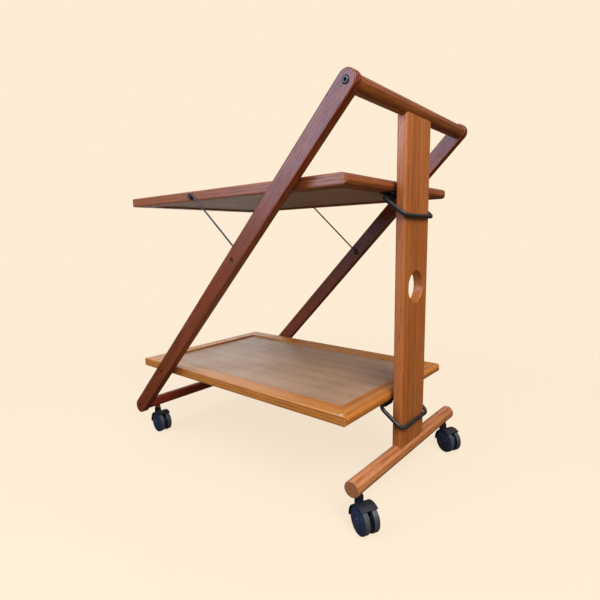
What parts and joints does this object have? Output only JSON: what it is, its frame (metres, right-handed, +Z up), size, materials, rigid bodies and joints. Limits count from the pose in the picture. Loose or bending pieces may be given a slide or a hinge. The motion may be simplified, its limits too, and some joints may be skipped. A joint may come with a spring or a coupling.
{
  "type": "folding bar cart",
  "caption": "Folding wooden bar cart: upright board with a handle bar, two sloping legs, two framed trays on guide loops, twin-wheel casters.",
  "frame": {"origin": "on the floor, under the centre of the cart's box at rest", "axes": "+Z up; +X towards the upright board and the handle; Y across the cart"},
  "size_m": [0.7061, 0.448, 0.737],
  "materials": {
    "stained_wood": "stained and varnished, satin",
    "tray_panel": "dark veneer, satin",
    "black_steel": "black, satin",
    "steel": "zinc plated",
    "brass": "dull",
    "caster_wheel": "hard nylon, semi-gloss",
    "caster_plastic": "semi-gloss",
    "spacer_plastic": "nylon"
  },
  "bodies": {
    "post_frame": {"post": "stained_wood", "handle_bar": "stained_wood", "foot_bar": "stained_wood", "post_dowels": "stained_wood", "handle_bolts": "black_steel", "handle_washers": "black_steel", "handle_inserts": "brass", "rear_sockets": "brass", "rear_left_stem": "steel", "rear_right_stem": "steel"},
    "leg_frame": {"left_leg": "stained_wood", "right_leg": "stained_wood", "front_bar": "stained_wood", "leg_end_screws": "steel", "lower_pivot_screws": "steel", "upper_pivot_pins": "steel", "stay_studs": "black_steel", "pivot_spacers": "spacer_plastic", "front_sockets": "brass", "front_left_stem": "steel", "front_right_stem": "steel"},
    "upper_guide": {"upper_loop": "black_steel"},
    "upper_tray": {"upper_left_rail": "stained_wood", "upper_right_rail": "stained_wood", "upper_front_rail": "stained_wood", "upper_rear_rail": "stained_wood", "upper_panel": "tray_panel", "upper_bracket": "black_steel", "upper_bracket_screws": "steel", "upper_pivot_inserts": "brass", "stay_screws": "black_steel"},
    "lower_guide": {"lower_loop": "black_steel"},
    "lower_tray": {"lower_left_rail": "stained_wood", "lower_right_rail": "stained_wood", "lower_front_rail": "stained_wood", "lower_rear_rail": "stained_wood", "lower_panel": "tray_panel", "lower_bracket": "black_steel", "lower_bracket_screws": "steel", "lower_pivot_inserts": "brass"},
    "left_stay_arm": {"left_stay": "black_steel"},
    "right_stay_arm": {"right_stay": "black_steel"},
    "rear_left_swivel": {"rear_left_housing": "caster_plastic", "rear_left_axle": "steel"},
    "rear_left_left_roller": {"rear_left_left_wheel": "caster_wheel"},
    "rear_left_right_roller": {"rear_left_right_wheel": "caster_wheel"},
    "rear_right_swivel": {"rear_right_housing": "caster_plastic", "rear_right_axle": "steel"},
    "rear_right_left_roller": {"rear_right_left_wheel": "caster_wheel"},
    "rear_right_right_roller": {"rear_right_right_wheel": "caster_wheel"},
    "front_left_swivel": {"front_left_housing": "caster_plastic", "front_left_axle": "steel"},
    "front_left_left_roller": {"front_left_left_wheel": "caster_wheel"},
    "front_left_right_roller": {"front_left_right_wheel": "caster_wheel"},
    "front_right_swivel": {"front_right_housing": "caster_plastic", "front_right_axle": "steel"},
    "front_right_left_roller": {"front_right_left_wheel": "caster_wheel"},
    "front_right_right_roller": {"front_right_right_wheel": "caster_wheel"}
  },
  "joints": [
    {"name": "leg_fold", "type": "hinge", "parent": "post_frame", "child": "leg_frame", "pos_m": [0.30682, 0, 0.72], "axis": [0, -1, 0], "range_deg": [0, 31]},
    {"name": "upper_guide_slide", "type": "slide", "parent": "post_frame", "child": "upper_guide", "axis": [0, 0, 1], "range_m": [0, 0.0598]},
    {"name": "upper_tray_tilt", "type": "hinge", "parent": "upper_guide", "child": "upper_tray", "pos_m": [0.27282, 0, 0.57019], "axis": [0, -1, 0], "range_deg": [0, 76.05]},
    {"name": "lower_guide_slide", "type": "slide", "parent": "post_frame", "child": "lower_guide", "axis": [0, 0, 1], "range_m": [0, 0.299]},
    {"name": "lower_tray_tilt", "type": "hinge", "parent": "lower_guide", "child": "lower_tray", "pos_m": [0.27282, 0, 0.17019], "axis": [0, -1, 0], "range_deg": [0, 76.05]},
    {"name": "left_stay_swing", "type": "hinge", "parent": "upper_tray", "child": "left_stay_arm", "pos_m": [-0.103, -0.196, 0.58918], "axis": [0, -1, 0], "range_deg": [0, 41.2]},
    {"name": "right_stay_swing", "type": "hinge", "parent": "upper_tray", "child": "right_stay_arm", "pos_m": [-0.103, 0.196, 0.58918], "axis": [0, -1, 0], "range_deg": [0, 41.2]},
    {"name": "rear_left_swivel_turn", "type": "hinge", "parent": "post_frame", "child": "rear_left_swivel", "pos_m": [0.30682, -0.184, 0.064], "axis": [0, 0, 1], "continuous": true},
    {"name": "rear_left_left_wheel_spin", "type": "hinge", "parent": "rear_left_swivel", "child": "rear_left_left_roller", "pos_m": [0.32479, -0.19277, 0.025], "axis": [0.4384, 0.8988, 0], "continuous": true},
    {"name": "rear_left_right_wheel_spin", "type": "hinge", "parent": "rear_left_swivel", "child": "rear_left_right_roller", "pos_m": [0.32479, -0.19277, 0.025], "axis": [0.4384, 0.8988, 0], "continuous": true},
    {"name": "rear_right_swivel_turn", "type": "hinge", "parent": "post_frame", "child": "rear_right_swivel", "pos_m": [0.30682, 0.184, 0.064], "axis": [0, 0, 1], "continuous": true},
    {"name": "rear_right_left_wheel_spin", "type": "hinge", "parent": "rear_right_swivel", "child": "rear_right_left_roller", "pos_m": [0.32479, 0.17523, 0.025], "axis": [0.4384, 0.8988, 0], "continuous": true},
    {"name": "rear_right_right_wheel_spin", "type": "hinge", "parent": "rear_right_swivel", "child": "rear_right_right_roller", "pos_m": [0.32479, 0.17523, 0.025], "axis": [0.4384, 0.8988, 0], "continuous": true},
    {"name": "front_left_swivel_turn", "type": "hinge", "parent": "leg_frame", "child": "front_left_swivel", "pos_m": [-0.33618, -0.172, 0.064], "axis": [0, 0, 1], "continuous": true},
    {"name": "front_left_left_wheel_spin", "type": "hinge", "parent": "front_left_swivel", "child": "front_left_left_roller", "pos_m": [-0.31629, -0.17409, 0.025], "axis": [0.1045, 0.9945, 0], "continuous": true},
    {"name": "front_left_right_wheel_spin", "type": "hinge", "parent": "front_left_swivel", "child": "front_left_right_roller", "pos_m": [-0.31629, -0.17409, 0.025], "axis": [0.1045, 0.9945, 0], "continuous": true},
    {"name": "front_right_swivel_turn", "type": "hinge", "parent": "leg_frame", "child": "front_right_swivel", "pos_m": [-0.33618, 0.172, 0.064], "axis": [0, 0, 1], "continuous": true},
    {"name": "front_right_left_wheel_spin", "type": "hinge", "parent": "front_right_swivel", "child": "front_right_left_roller", "pos_m": [-0.31629, 0.16991, 0.025], "axis": [0.1045, 0.9945, 0], "continuous": true},
    {"name": "front_right_right_wheel_spin", "type": "hinge", "parent": "front_right_swivel", "child": "front_right_right_roller", "pos_m": [-0.31629, 0.16991, 0.025], "axis": [0.1045, 0.9945, 0], "continuous": true}
  ],
  "couplings": [
    {"joint": "upper_guide_slide", "follows": "leg_fold", "m_per_rad": 0.11025},
    {"joint": "upper_tray_tilt", "follows": "leg_fold", "ratio": 2.4516},
    {"joint": "lower_guide_slide", "follows": "leg_fold", "m_per_rad": 0.55242},
    {"joint": "lower_tray_tilt", "follows": "leg_fold", "ratio": 2.4516},
    {"joint": "left_stay_swing", "follows": "leg_fold", "ratio": 1.3274},
    {"joint": "right_stay_swing", "follows": "leg_fold", "ratio": 1.3274}
  ]
}
